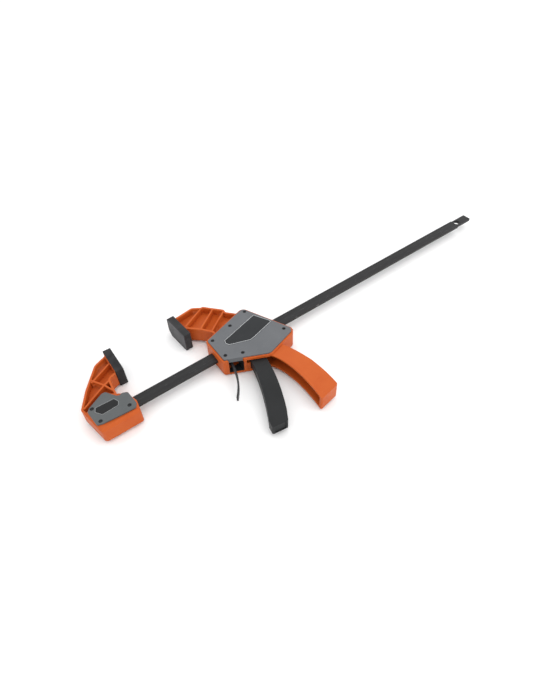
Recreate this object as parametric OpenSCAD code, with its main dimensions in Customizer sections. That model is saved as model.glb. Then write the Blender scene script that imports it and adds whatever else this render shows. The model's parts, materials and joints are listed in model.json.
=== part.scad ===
// Quick release bar clamp: a fixed jaw pinned to one end of a flat steel bar, and a
// carriage that a pistol grip and a trigger walk along the bar. The clamp lies on its
// side: +X runs along the bar from the fixed jaw, +Y towards the jaw tips, +Z up.
// The origin is the centre of the fixed pad's clamping face.

/* [Bar] */
// Width of the flat bar
bar_w = 20; // [16:0.5:25]
// Thickness of the bar
bar_t = 6; // [5:0.5:8]
// Whole length of the bar
bar_length = 841; // [500:1:1200]
// Length of bar behind the plane of the fixed pad's face
bar_held = 78; // [76:1:82]
// Diameter of the hole at each end of the bar
bar_hole_d = 12; // [8:0.5:13]
// Distance from each end of the bar to its hole
bar_hole_in = 32; // [28:1:34]
// Depth of the step in each edge of the bar where a tongue begins
tongue_step = 1.5; // [1:0.1:3]
// Length of the narrowed tongue
tongue_length = 38; // [36:1:46]

/* [Jaws] */
// Height of the pads' centres over the bar's centre line
throat = 85.8; // [70:0.1:110]
// Distance between the pads' faces as the clamp is stored
opening = 108.8; // [20:0.1:400]
// Lean of each pad towards the other at the tips, in degrees
toe_in = 2.4; // [0:0.1:4]
// Depth of the ribbed jaw arms
arm_depth = 27; // [22:0.5:30]
// Thickness of the arms' outer flange
flange_t = 3.5; // [2.5:0.1:4.5]
// Thickness of the arms' ribs
rib_t = 3; // [2:0.1:4]
// Thickness of the web in the middle of the arms
web_t = 3.4; // [2.4:0.1:5]

/* [Pads] */
// Length of a pad's face, along Y
pad_length = 55.4; // [44:0.1:62]
// Height of a pad's face, along Z
pad_height = 36.6; // [30:0.1:36.6]
// Thickness of a pad
pad_t = 13.4; // [10:0.1:16]
// Cut at the corner of a pad that is lowest and farthest from the bar
pad_tip_cut = 8; // [3:0.5:10]
// Cut at the other corners of a pad
pad_corner_cut = 1.5; // [1:0.5:4]
// Depth of the pocket that takes the jaw's end plate
pad_pocket = 5; // [3:0.5:7]
// Wall of the pad round that pocket
pad_wall = 4; // [3:0.5:6]

/* [Housing] */
// Whole depth of the carriage, over both covers
carriage_depth = 37; // [36:0.5:40]
// Thickness of the cover plates
cover_t = 2.5; // [2:0.1:3]
// Width of housing rim that shows round a cover
rim_w = 3; // [2:0.1:4]
// Thickness of the housing's side walls
wall_t = 4; // [3.5:0.1:4.5]
// Thickness of the housing's back wall
back_t = 3; // [2.5:0.1:3.5]
// Depth of the grip
grip_depth = 28; // [26:0.5:30]
// Gap beside the trigger in the groove of the grip that it closes into
groove_gap = 1.5; // [0.8:0.1:1.8]
// Thickness of plastic between the groove and the back of the grip
grip_back_t = 8; // [5:0.5:12]

/* [Trigger] */
// Thickness of the trigger below the housing
trigger_t = 19; // [17:0.5:19.5]
// Wall of the hollow trigger
trigger_wall = 3; // [2.2:0.1:3.5]
// Gap between the fork that straddles the bar and the housing's back wall
fork_gap = 0.6; // [0.4:0.1:1]
// Thickness of each cheek of the fork
cheek_t = 3; // [2.4:0.1:3.2]
// Diameter of the trigger's pivot pin
pivot_d = 8; // [6:0.5:8]
// Radius of the fork's hub round the pivot pin
hub_r = 7.2; // [6.5:0.1:7.4]
// Radius of the nose that pushes the drive plates
nose_r = 5; // [4:0.1:5.5]

/* [Drive and brake] */
// Thickness of each drive plate
drive_plate_t = 3; // [2.5:0.1:3.5]
// Width of the drive plates and of the brake plate, along Z
plate_w = 18; // [15:0.5:18]
// Wire of the drive spring
drive_wire = 1.6; // [1.2:0.1:1.8]
// Thickness of the brake plate and its lever
brake_t = 3; // [2.5:0.1:3.2]
// Lean of the brake plate when it holds, in degrees
brake_lean = 6; // [4:0.5:7]
// Width of the release lever's blade, along Z
lever_w = 10; // [8:0.5:17]
// Wire of the brake spring
brake_wire = 0.9; // [0.7:0.1:1.1]
// Outside diameter of the brake spring
brake_spring_d = 9; // [8:0.5:10]

/* [Screws] */
// Diameter of a screw's shank
screw_d = 3.2; // [2.8:0.1:3.4]
// Diameter of a screw's head
screw_head_d = 5.6; // [5:0.1:6]
// Thickness of a screw's head
screw_head_t = 1.6; // [1.2:0.1:2]
// Length of a screw under its head
screw_length = 11; // [8:0.5:12]
// Depth of a screw's head below the cover
screw_sunk = 0.9; // [0.5:0.1:1.2]

/* [Hidden] */
$fn = 48;

orange = [0.87, 0.38, 0.16];
grey = [0.48, 0.5, 0.52];
black = [0.16, 0.16, 0.17];
steel = [0.55, 0.56, 0.58];

fit = 0.1;          // between pieces of one body that seat in each other
slide_fit = 0.15;   // between the bar and what slides on it
pin_fit = 0.05;     // radial, between the pivot pin and its bores
past = 1;           // cuts run this far past a face
curve_steps = 16;   // straight stretches in a long curve

half_bar = bar_w / 2;
tongue_w = bar_w - 2 * tongue_step;
half_depth = carriage_depth / 2;
rim_z = half_depth - cover_t;      // faces that the covers lie on
floor_z = back_t - rim_z;          // inner face of the housing's back wall
arm_z = arm_depth / 2;
grip_z = grip_depth / 2;
groove_w = trigger_t + 2 * groove_gap;
fork_z = rim_z - back_t - fork_gap;
fork_w = 2 * fork_z;

// Heights over the bar's upper edge and under its lower edge.
function up(d) = half_bar + d;
function dn(d) = -half_bar - d;
function between(f, a, b) = a + f * (b - a);

// ---- Outlines -------------------------------------------------------------------

function unit(v) = v / norm(v);
function xy(p) = [p.x, p.y];

// Arc of radius r that rounds the corner b between the edges from a and to c.
function corner(a, b, c, r) =
    let (u = unit(a - b),
         v = unit(c - b),
         half = acos(u * v) / 2,
         m = b + unit(u + v) * r / sin(half),
         p = b + u * r / tan(half) - m,
         q = b + v * r / tan(half) - m,
         start = atan2(p.y, p.x),
         turn = atan2(cross(p, q), p * q),
         steps = max(2, ceil(sqrt(r) * abs(turn) / 32)))
    [for (i = [0:steps]) m + r * [cos(start + turn * i / steps),
                                 sin(start + turn * i / steps)]];

// Outline from corners given as [x, y, radius], anticlockwise.
function rounded(pts) =
    let (n = len(pts))
    [for (i = [0:n - 1])
        each pts[i].z == 0 ? [xy(pts[i])]
            : corner(xy(pts[(i + n - 1) % n]), xy(pts[i]), xy(pts[(i + 1) % n]), pts[i].z)];

// The same corners with every edge moved inwards by d: outer corners tighten and inner
// corners open out.
function inset(pts, d) =
    let (n = len(pts))
    [for (i = [0:n - 1])
        let (b = xy(pts[i]),
             u = unit(b - xy(pts[(i + n - 1) % n])),
             v = unit(xy(pts[(i + 1) % n]) - b),
             p = b + d * [-u.y, u.x],
             q = b + d * [-v.y, v.x],
             s = cross(q - p, v) / cross(u, v),
             m = p + s * u)
        [m.x, m.y, pts[i].z == 0 ? 0 : max(pts[i].z + (cross(u, v) < 0 ? d : -d), 1)]];

// Points of a cubic curve with its two ends and two handles.
function curve(a, b, c, d) =
    [for (i = [0:curve_steps])
        let (t = i / curve_steps, s = 1 - t)
        s * s * s * a + 3 * s * s * t * b + 3 * s * t * t * c + t * t * t * d];

// A solid of this outline from height low to height high.
module slab(outline, low, high) {
    translate([0, 0, low]) linear_extrude(high - low) polygon(outline);
}

// A straight wall of this thickness between two points.
module rail(a, b, t, low, high) {
    along = b - a;
    translate([a.x, a.y, low])
        rotate([0, 0, atan2(along.y, along.x)])
            translate([0, -t / 2, 0])
                cube([norm(along), t, high - low]);
}

// ---- Frames ---------------------------------------------------------------------

// Pieces are drawn with y = 0 on the bar's centre line. Those of the carriage have
// x = 0 in the plane of the sliding pad's face, the others in that of the fixed pad's.
module on_bar() {
    translate([0, -throat, 0]) children();
}
module on_carriage() {
    translate([opening, -throat, 0]) children();
}
// A pad's own frame: its face's centre, with the pad's body towards +X.
module at_sliding_pad() {
    translate([0, throat, 0]) rotate([0, 0, toe_in]) children();
}
module at_fixed_pad() {
    translate([0, throat, 0]) mirror([1, 0, 0]) rotate([0, 0, toe_in]) children();
}
// Once for the upper side and once mirrored for the underside.
module both_sides() {
    children();
    mirror([0, 0, 1]) children();
}

// ---- Carriage outlines and places -------------------------------------------------

cover_corners = [[25.2, dn(17), 2], [93.4, dn(50.4), 14], [155.7, dn(31.3), 8],
    [116.2, up(42.4), 7], [27.2, up(15), 4]];
body_corners = inset(cover_corners, -rim_w);
cavity_corners = inset(body_corners, wall_t);

cover_screws_at = [[115.1, up(33.6)], [76, up(20.9)], [34, up(9.9)],
    [32.5, dn(10.4)], [58.3, dn(22.5)], [143.2, dn(21.1)]];
pivot = cover_screws_at[1];
boss_r = 4.2;
boss_spigot = 1.2;                 // length of a cover's spigot into the housing

badge_corners = [[46.6, 1, 2], [49.6, -5.8, 2], [84, -18.3, 8], [93.3, -17, 8],
    [136, -5.4, 2], [137.6, -1.6, 2], [122.4, 28, 2], [49, 8.4, 2]];
badge_t = 0.6;
badge_proud = 0.1;

arm_corners = [[11, throat - 6, 0], [15.5, throat - 9.6, 4], [34, throat - 27.6, 6],
    [46.3, up(30.5), 4], [45, up(12), 0], [112, up(32), 0],
    [103.6, up(43.2), 0], [91.2, throat - 18, 1.5],
    [92, throat - 10.8, 2], [66.8, throat + 18.8, 2], [62.8, throat + 18.9, 1.5],
    [48.9, throat + 28.5, 5], [14.2, throat + 24, 0], [11, throat + 23.4, 0]];
arm_ribs = [[[16, throat - 5.2], [66, throat + 19]],
    [[30, throat - 29.2], [80, throat + 4.6]],
    [[40, throat - 46.4], [95, throat - 10]]];

grip_front = curve([91, dn(50)], [105.2, dn(68)], [108.2, dn(120)], [99.7, dn(168.5)]);
grip_rear = curve([137.7, dn(162)], [143.2, dn(125)], [138.2, dn(75)], [120.2, dn(39)]);
grip_outline = concat([for (i = [0:curve_steps - 1]) grip_front[i]],
    corner(grip_front[curve_steps - 1], [99.4, dn(169.5)], [137.6, dn(162.8)], 2.5),
    corner([99.4, dn(169.5)], [137.6, dn(162.8)], grip_rear[1], 5),
    [for (i = [2:curve_steps]) grip_rear[i]]);
groove_end = dn(163);              // inner face of the grip's closed end

trigger_front = curve([64.7, dn(30)], [55.2, dn(74)], [34.2, dn(118)], [11.4, dn(156.5)]);
trigger_rear = curve([41.6, dn(163)], [61.2, dn(128)], [81.7, dn(82)], [87.7, dn(38)]);
trigger_tip = [[12.4, dn(162)], [38.5, dn(166)]];
blade_top = dn(13);                // top of the trigger's solid part, under the bar

nose = [80.6, up(6.5)];
nose_face = nose.x + nose_r;       // the trigger's foremost line at rest
play = 0.2;                        // between the nose and the first drive plate
drive_x = nose_face + play;
drive_gap = 0.2;
spring_x = drive_x + 2 * drive_plate_t + 2 * drive_gap;
seat_x = 127.6;                    // face of the wall that backs the drive spring
seat_t = 3.5;
drive_spring_r = norm([bar_w, bar_t]) / 2 + 0.6 + drive_wire / 2;

fulcrum = [43.1, up(10)];          // centre of the brake plate's rounded, rocking end
bend_y = dn(10);                   // where the straight plate turns into the lever
lever_r = 123;                     // radius of the lever's bend
lever_turn = 38;                   // degrees that the lever turns through
web_x = [53.2, 56.7];              // the two faces of the wall between the windows
brake_spring_y = dn(8.5);

seat_r = brake_t / 2 + fit;        // seat of the brake plate's rounded end
lever_room = brake_t / 2 / cos(brake_lean) + 0.3;

function brake_x(y) = fulcrum.x - (fulcrum.y - y) * tan(brake_lean);

// ---- Bar --------------------------------------------------------------------------

module bar_blank(clear = 0) {
    long = bar_length - 2 * tongue_length;
    translate([tongue_length - bar_held, -half_bar - clear, -bar_t / 2 - clear])
        cube([long, bar_w + 2 * clear, bar_t + 2 * clear]);
    translate([-bar_held - clear, -tongue_w / 2 - clear, -bar_t / 2 - clear])
        cube([bar_length + 2 * clear, tongue_w + 2 * clear, bar_t + 2 * clear]);
}

module bar() {
    color(black) on_bar() difference() {
        bar_blank();
        for (x = [bar_hole_in, bar_length - bar_hole_in])
            translate([x - bar_held, 0, -bar_t])
                cylinder(d = bar_hole_d, h = 2 * bar_t);
    }
}

// ---- Screws -----------------------------------------------------------------------

head_top = half_depth - screw_sunk;
head_seat = head_top - screw_head_t;

module screw() {
    slot = 0.9;
    difference() {
        union() {
            translate([0, 0, head_seat]) cylinder(d = screw_head_d, h = screw_head_t);
            translate([0, 0, head_seat - screw_length])
                cylinder(d = screw_d, h = screw_length + past / 10);
        }
        for (turn = [0, 90])
            rotate([0, 0, turn])
                translate([-1.7, -slot / 2, head_top - 1]) cube([3.4, slot, 2]);
    }
}

// Room for the screw and its head in a cover or plate.
module screw_room() {
    translate([0, 0, floor_z]) cylinder(d = screw_d + 0.3, h = 2 * half_depth);
    translate([0, 0, head_seat]) cylinder(d = screw_head_d + 0.6, h = half_depth);
}

// Tapped hole for the screw, from under its head down.
module screw_hole() {
    translate([0, 0, head_seat - screw_length - past])
        cylinder(d = screw_d + 0.04, h = screw_length + half_depth);
}

// ---- Fixed jaw ----------------------------------------------------------------------

block_corners = [[-79.8, dn(20), 6], [-16.5, dn(20), 4], [-12.4, dn(-3), 4],
    [-16, up(-4), 5], [-17.6, up(3.5), 4], [-25, up(8), 4], [-44, up(24), 4],
    [-87, up(7.5), 4]];
block_chamfer = 4;
jaw_plate_corners = [[-80.5, dn(6.5), 3], [-73, dn(9.5), 3], [-45, dn(12), 10],
    [-20.5, dn(13.2), 3], [-15.8, dn(6), 3], [-17, up(0.6), 3], [-24.6, up(4.4), 3],
    [-30, up(2.6), 3], [-34.5, up(5.2), 3], [-44.6, up(21.8), 3], [-50.5, up(22.4), 3],
    [-77, up(8.5), 3], [-82, up(3), 3]];
jaw_badge_corners = [[-73.5, 5.6, 1.5], [-66.3, -5.2, 1.5], [-39.3, -4.2, 3],
    [-35.6, 3, 3], [-39.2, 12.2, 3], [-69.6, 13.6, 1.5]];
jaw_screws_at = [[-26, -13.5], [-73, -13.5], [-74.2, 14.8]];
jaw_arm_corners = [[-11, throat - 25, 0], [-11, throat + 20.8, 0],
    [-35.5, throat + 10.8, 18], [-68, throat - 28.5, 40], [-88.4, up(16.5), 5],
    [-86, up(2), 0], [-32, up(2), 0], [-30, up(24), 8], [-27, throat - 30, 7],
    [-17, throat - 26.5, 4]];
node_point = [-39.6, between(0.527, half_bar, throat)];
jaw_arm_ribs = [[[-10, throat + 2.5], [-54, throat - 19.5]],
    [[-10, throat - 25.5], node_point], [node_point, [-54, throat - 11]],
    [node_point, [-84, up(16)]], [node_point, [-28, up(10)]]];
pocket_floor = bar_t / 2 + 4;      // inner faces of the block's two pockets
block_wall = 4;
pin_boss_r = bar_hole_d / 2 + 3.5;
jaw_pin_x = bar_hole_in - bar_held;

// Room for a pad at the end of an arm, in the pad's own frame.
module pad_room() {
    translate([-5, -pad_length / 2 - fit, -half_depth])
        cube([pad_t + 5 + fit, pad_length + 2 * fit, carriage_depth]);
}

// Room on both sides for a cover or plate of this outline.
module plate_seats(corners) {
    both_sides() slab(rounded(inset(corners, -fit)), rim_z, carriage_depth);
}

// Pockets on both sides of an arm, leaving its flange, web and ribs.
module arm_pockets(corners, ribs) {
    both_sides() difference() {
        slab(rounded(inset(corners, flange_t)), web_t / 2, arm_z + past);
        for (r = ribs) rail(r[0], r[1], rib_t, 0, arm_z + 2 * past);
    }
}

// Plate at the end of an arm, which a pad's pocket takes, in the pad's own frame.
module end_plate() {
    wide = pad_length - 2 * (pad_wall + fit);
    high = pad_height - 2 * (pad_wall + fit);
    translate([pad_t - pad_pocket + fit, -wide / 2, -high / 2])
        cube([pad_pocket + 0.5, wide, high]);
}

module jaw_block() {
    inner = inset(block_corners, block_chamfer);
    hull() {
        slab(rounded(block_corners), block_chamfer - rim_z, rim_z - block_chamfer);
        slab(rounded(inner), -rim_z, rim_z);
    }
}

module jaw_block_pockets() {
    both_sides() difference() {
        slab(rounded(inset(jaw_plate_corners, block_wall / 2)), pocket_floor, rim_z + past);
        translate([jaw_pin_x, 0, 0]) cylinder(r = pin_boss_r, h = half_depth);
        for (p = jaw_screws_at) translate(p) cylinder(r = boss_r, h = half_depth);
        rail([-90, 0], [-10, 0], 2.4, 0, rim_z + past);
    }
}

module fixed_jaw() {
    color(orange) on_bar() difference() {
        union() {
            difference() {
                slab(rounded(jaw_arm_corners), -arm_z, arm_z);
                arm_pockets(jaw_arm_corners, jaw_arm_ribs);
                at_fixed_pad() pad_room();
                plate_seats(jaw_plate_corners);
            }
            difference() {
                jaw_block();
                jaw_block_pockets();
            }
            at_fixed_pad() end_plate();
        }
        bar_blank(fit);
        translate([jaw_pin_x, 0, -half_depth])
            cylinder(d = bar_hole_d + fit, h = carriage_depth);
        both_sides() for (p = jaw_screws_at) translate(p) {
            screw_hole();
            translate([0, 0, rim_z - boss_spigot]) cylinder(r = boss_r + fit, h = half_depth);
        }
    }
}

module jaw_pin() {
    color(steel) on_bar() translate([jaw_pin_x, 0, fit - rim_z])
        cylinder(d = bar_hole_d - fit, h = 2 * (rim_z - fit));
}

module jaw_plate() {
    difference() {
        union() {
            slab(rounded(jaw_plate_corners), rim_z, half_depth);
            for (p = jaw_screws_at)
                translate([p.x, p.y, rim_z - boss_spigot + fit])
                    cylinder(r = boss_r, h = boss_spigot);
        }
        for (p = jaw_screws_at) translate(p) screw_room();
        slab(rounded(jaw_badge_corners), half_depth - badge_t, half_depth + past);
    }
}

module badge(corners, proud) {
    slab(rounded(inset(corners, fit)), half_depth - badge_t, half_depth + proud);
}

module jaw_front_plate() { color(grey) on_bar() jaw_plate(); }
module jaw_back_plate() { color(grey) on_bar() mirror([0, 0, 1]) jaw_plate(); }
module jaw_front_badge() { color(black) on_bar() badge(jaw_badge_corners, badge_proud); }
module jaw_back_badge() {
    color(black) on_bar() mirror([0, 0, 1]) badge(jaw_badge_corners, -badge_proud);
}

module jaw_screws() {
    color(black) on_bar() both_sides() for (p = jaw_screws_at) translate(p) screw();
}

// ---- Pads -----------------------------------------------------------------------------

module pad() {
    half_l = pad_length / 2;
    half_h = pad_height / 2;
    c = pad_corner_cut;
    face = [[half_h, half_l - pad_tip_cut], [half_h - pad_tip_cut - 2, half_l],
        [c - half_h, half_l], [-half_h, half_l - c], [-half_h, c - half_l],
        [c - half_h, -half_l], [half_h - c, -half_l], [half_h, c - half_l]];
    wide = pad_length - 2 * pad_wall;
    high = pad_height - 2 * pad_wall;
    difference() {
        rotate([0, 90, 0]) linear_extrude(pad_t) polygon(face);
        translate([pad_t - pad_pocket, -wide / 2, -high / 2])
            cube([pad_pocket + past, wide, high]);
    }
}

module fixed_pad() { color(black) on_bar() at_fixed_pad() pad(); }
module sliding_pad() { color(black) on_carriage() at_sliding_pad() pad(); }

// ---- Housing --------------------------------------------------------------------------

guide_depth = 7;                   // length of the bar's guide at the front wall
guide_w = 7;                       // plastic above and below the bar there
window_x = [30.2, web_x[0] - 0.6]; // sides of the release lever's window
window_z = [floor_z + 0.6, 9.5];
slot_z = groove_w / 2;
stop_x = [64.1, 62.7];             // top and bottom of the trigger's rest stop

// Everything that the trigger passes through between the cavity and the grip.
module trigger_way() {
    slab([[web_x[1], dn(20)], [web_x[1], dn(60)], [88, dn(60)], [90, dn(64)],
          [99, dn(100)], [96, dn(150)], [94, groove_end], [112, groove_end],
          each [for (p = grip_rear) if (p.y > groove_end + 2) p - [grip_back_t, 0]],
          [112, dn(20)]],
        -slot_z, slot_z);
}

module housing_cavity() {
    slab(rounded(cavity_corners), floor_z, half_depth);
}

// Guides, seats and bosses that stand on the back wall inside the cavity.
module housing_fittings() {
    top = fork_z - 0.4;
    wall_x = cover_corners[0].x - rim_w + wall_t / 2;
    translate([wall_x, -half_bar - guide_w, floor_z])
        cube([guide_depth, bar_w + 2 * guide_w, top - floor_z]);
    translate([seat_x, -half_bar - guide_w, floor_z])
        cube([seat_t, bar_w + 2 * guide_w, top - floor_z]);
    // Block with the seat that the brake plate rocks in.
    translate([fulcrum.x - brake_t / 2 - 3.5, fulcrum.y - 2.5, floor_z])
        cube([brake_t + 7, 14, top - floor_z]);
    // Wall between the lever's window and the trigger's way, with the spring's spigot.
    translate([web_x[0], dn(36), floor_z])
        cube([web_x[1] - web_x[0], 33.5, slot_z - floor_z]);
    translate([web_x[0] - 2, brake_spring_y, 0])
        rotate([0, 90, 0]) cylinder(d = brake_spring_d - 2 * brake_wire - 0.8, h = 3);
    // Rest stop of the trigger.
    slab([[web_x[1] - past, dn(36)], [stop_x[1], dn(37)], [stop_x[0], dn(31)],
          [web_x[1] - past, dn(31)]], floor_z, 3);
    for (i = [0, 2, 3, 4, 5])
        translate([cover_screws_at[i].x, cover_screws_at[i].y, floor_z - past])
            cylinder(r = boss_r, h = rim_z - boss_spigot - floor_z + past);
}

module housing_cuts() {
    // Bar, the brake plate's seat and its room, the window and the cover's tab.
    translate([-opening, 0, 0])
        bar_way();
    translate([fulcrum.x, fulcrum.y, floor_z]) cylinder(r = seat_r, h = carriage_depth);
    slab([fulcrum - [seat_r, 0], fulcrum - [seat_r + 0.9, 4], fulcrum + [seat_r + 0.5, -4],
          fulcrum + [seat_r, 0]], floor_z, carriage_depth);
    slab([[brake_x(up(5)) - lever_room, up(5)], [brake_x(dn(22)) - lever_room, dn(22)],
          [brake_x(dn(22)) + lever_room, dn(22)], [brake_x(up(5)) + lever_room, up(5)]],
         -plate_w / 2 - 0.4, plate_w / 2 + 0.4);
    translate([window_x[0], dn(45), window_z[0]])
        cube([window_x[1] - window_x[0], 30, window_z[1] - window_z[0]]);
    translate([window_x[0] - fit, dn(45), window_z[1] - fit])
        cube([window_x[1] - window_x[0] + 2 * fit, 30, half_depth]);
    // Room for the drive spring where it is wider than the cavity.
    translate([drive_x, 0, 0]) rotate([0, 90, 0])
        cylinder(r = drive_spring_r + drive_wire / 2 + 0.3, h = seat_x - drive_x - fit / 2);
    // Screws from both sides, and the seats of the covers' spigots.
    both_sides() for (p = cover_screws_at) translate(p) {
        screw_hole();
        translate([0, 0, rim_z - boss_spigot]) cylinder(r = boss_r + fit, h = half_depth);
    }
    // Room for the fork's hub, and the seat of the pivot pin in the back wall.
    translate([pivot.x, pivot.y, fork_gap / 2 - rim_z + back_t])
        cylinder(r = hub_r + 0.4, h = 2 * fork_z + fork_gap);
    translate([pivot.x, pivot.y, boss_spigot - rim_z])
        cylinder(r = pivot_d / 2 + fit / 2, h = half_depth);
}

module bar_way() {
    translate([-bar_held, -half_bar - slide_fit, -bar_t / 2 - slide_fit])
        cube([bar_length, bar_w + 2 * slide_fit, bar_t + 2 * slide_fit]);
}

module housing() {
    color(orange) on_carriage() difference() {
        union() {
            difference() {
                union() {
                    difference() {
                        union() {
                            difference() {
                                slab(rounded(arm_corners), -arm_z, arm_z);
                                arm_pockets(arm_corners, arm_ribs);
                                at_sliding_pad() pad_room();
                            }
                            slab(grip_outline, -grip_z, grip_z);
                        }
                        plate_seats(cover_corners);
                    }
                    slab(rounded(body_corners), -rim_z, rim_z);
                }
                housing_cavity();
                trigger_way();
            }
            at_sliding_pad() end_plate();
            intersection() {
                housing_fittings();
                slab(rounded(inset(body_corners, 1)), -rim_z, rim_z);
            }
        }
        housing_cuts();
    }
}

// ---- Covers ---------------------------------------------------------------------------

module cover() {
    difference() {
        union() {
            slab(rounded(cover_corners), rim_z, half_depth);
            for (p = cover_screws_at)
                translate([p.x, p.y, rim_z - boss_spigot + fit])
                    cylinder(r = boss_r, h = boss_spigot);
        }
        for (p = cover_screws_at) translate(p) screw_room();
        slab(rounded(badge_corners), half_depth - badge_t, half_depth + past);
    }
}

// Tab that closes the open side of the release lever's window.
module cover_tab() {
    intersection() {
        difference() {
            slab(rounded(cover_corners), window_z[1], rim_z + 0.5);
            slab(rounded(inset(cover_corners, 3)), 0, half_depth);
        }
        translate([window_x[0], dn(50), 0])
            cube([window_x[1] - window_x[0], 40, half_depth]);
    }
}

// Ring that holds the front end of the pivot pin.
module pin_ring() {
    translate([pivot.x, pivot.y, fork_z + 0.4]) difference() {
        cylinder(r = pivot_d / 2 + 2.2, h = rim_z - fork_z);
        translate([0, 0, -past]) cylinder(r = pivot_d / 2 + fit / 2, h = half_depth);
    }
}

module front_cover() {
    color(grey) on_carriage() {
        cover();
        cover_tab();
        pin_ring();
    }
}

module back_cover() { color(grey) on_carriage() mirror([0, 0, 1]) cover(); }
module front_badge() { color(black) on_carriage() badge(badge_corners, badge_proud); }
module back_badge() {
    color(black) on_carriage() mirror([0, 0, 1]) badge(badge_corners, -badge_proud);
}
module cover_screws() {
    color(black) on_carriage() both_sides() for (p = cover_screws_at) translate(p) screw();
}

// ---- Trigger --------------------------------------------------------------------------

trigger_outline = concat([[64.7, blade_top]],
    [for (i = [0:curve_steps - 1]) trigger_front[i]],
    corner(trigger_front[curve_steps - 1], trigger_tip[0], trigger_tip[1], 3),
    corner(trigger_tip[0], trigger_tip[1], trigger_rear[1], 3),
    [for (i = [2:curve_steps]) trigger_rear[i]], [[87.7, blade_top]]);
cheek_front = 68;
cheek_rear = 84;

module trigger() {
    hollow_front = [for (p = trigger_front) p + [trigger_wall + 0.8, 0]];
    color(black) on_carriage() difference() {
        union() {
            slab(trigger_outline, -trigger_t / 2, trigger_t / 2);
            // Shoulder where the blade widens into the fork.
            slab([[66, blade_top], [64.7, dn(28)], [86.5, dn(28)], [85.5, blade_top]],
                -fork_z, fork_z);
            both_sides() slab([[cheek_front, blade_top - past], [cheek_rear, blade_top - past],
                [cheek_rear - 1, pivot.y], [cheek_front + 1, pivot.y]],
                fork_z - cheek_t, fork_z);
            translate([pivot.x, pivot.y, -fork_z]) cylinder(r = hub_r, h = fork_w);
            translate([nose.x, nose.y, -plate_w / 2]) cylinder(r = nose_r, h = plate_w);
            slab([[nose.x - 8, nose.y - 2], nose - [0, nose_r], [nose.x + 2, pivot.y],
                  [pivot.x - 5, pivot.y]], -fork_z, fork_z);
        }
        translate([pivot.x, pivot.y, -half_depth])
            cylinder(r = pivot_d / 2 + pin_fit, h = carriage_depth);
        // Hollow back of the blade, open towards the grip.
        difference() {
            slab(concat([[70, dn(44)]], [for (p = hollow_front) if (p.y < dn(46)) p],
                  [[18.5, dn(158.5)], [60, dn(160)], [110, dn(120)], [110, dn(44)]]),
                trigger_wall - trigger_t / 2, trigger_t / 2 - trigger_wall);
            for (i = [1:4])
                let (p = trigger_front[3 + 3 * i - 1], q = trigger_rear[curve_steps - 3 * i])
                    rail(p, q - [6, 0], 2.4, -trigger_t / 2, trigger_t / 2);
        }
    }
}

module trigger_pin() {
    color(steel) on_carriage() translate([pivot.x, pivot.y, 0]) difference() {
        translate([0, 0, boss_spigot + fit - rim_z])
            cylinder(d = pivot_d, h = 2 * (rim_z - boss_spigot - fit));
        both_sides() screw_hole();
    }
}

// ---- Drive ----------------------------------------------------------------------------

plate_top = up(10.5);
plate_bottom = dn(5.5);

module drive_plate(x) {
    translate([x, 0, 0]) difference() {
        translate([0, plate_bottom, -plate_w / 2])
            cube([drive_plate_t, plate_top - plate_bottom, plate_w]);
        translate([-past, -half_bar - slide_fit, -bar_t / 2 - slide_fit])
            cube([drive_plate_t + 2 * past, bar_w + 2 * slide_fit, bar_t + 2 * slide_fit]);
    }
}

module drive_plate_front() { color(steel) on_carriage() drive_plate(drive_x); }
module drive_plate_rear() {
    color(steel) on_carriage() drive_plate(drive_x + drive_plate_t + drive_gap);
}

// Compression spring along +X with closed ends, its wire swept round a helix.
module coil(length, r, wire, turns) {
    sides = 8;
    per_turn = 20;
    n = turns * per_turn;
    // Travel of the wire: one dead turn at each end, an even pitch between.
    dead = wire * 1.05;
    free = length - wire - 2 * dead;
    function travel(t) = t < 1 ? dead * t
        : t > turns - 1 ? dead + free + dead * (t - turns + 1)
        : dead + free * (t - 1) / (turns - 2);
    ring = [for (i = [0:n], k = [0:sides - 1])
        let (t = i / per_turn, a = 360 * t, b = 360 * k / sides,
             rr = r + wire / 2 * cos(b))
        [wire / 2 + travel(t) + wire / 2 * sin(b), rr * cos(a), rr * sin(a)]];
    skin = [for (i = [0:n - 1], k = [0:sides - 1])
        let (a = i * sides + k, b = i * sides + (k + 1) % sides)
        [a, b, b + sides, a + sides]];
    polyhedron(ring, concat(skin, [[for (k = [sides - 1:-1:0]) k]],
        [[for (k = [0:sides - 1]) n * sides + k]]), convexity = 10);
}

module drive_spring() {
    color(steel) on_carriage() translate([spring_x, 0, 0])
        coil(seat_x - spring_x - fit, drive_spring_r, drive_wire, 8);
}

// ---- Brake ----------------------------------------------------------------------------

// Middle line of the release lever: an arc that starts along the leaning plate.
function lever_line(f) =
    let (a = brake_lean + f * lever_turn)
    [brake_x(bend_y) - lever_r * (cos(brake_lean) - cos(a)),
     bend_y - lever_r * (sin(a) - sin(brake_lean))];
function lever_side(f) =
    let (a = brake_lean + f * lever_turn) brake_t / 2 * [cos(a), -sin(a)];

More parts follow.
